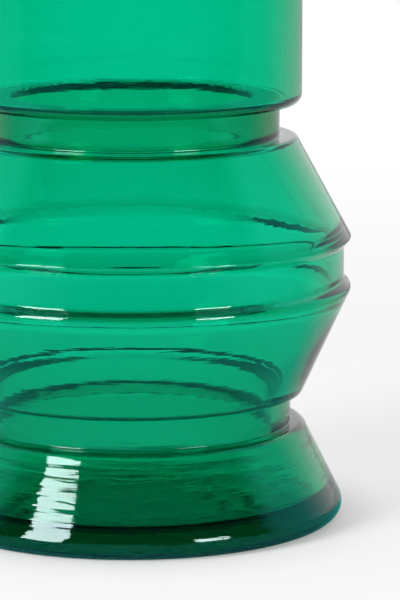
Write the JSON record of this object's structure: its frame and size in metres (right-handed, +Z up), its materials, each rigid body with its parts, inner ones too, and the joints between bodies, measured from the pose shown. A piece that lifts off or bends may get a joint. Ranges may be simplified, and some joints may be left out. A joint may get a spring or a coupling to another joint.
{
  "type": "glass vase",
  "caption": "Free-standing blown glass vase: conical foot, ridged double-cone belly between two waists, and a wide open cylinder with a rounded rim.",
  "frame": {"origin": "centre of the resting face, on the floor", "axes": "+Z up along the vase's axis; the vase is turned, so +X and +Y are any two directions square to it"},
  "size_m": [0.1128, 0.1128, 0.22],
  "materials": {
    "green_glass": "emerald green transparent glass, smooth and glossy, with faint turned ripples"
  },
  "bodies": {
    "root": {"glass_body": "green_glass"}
  },
  "joints": []
}
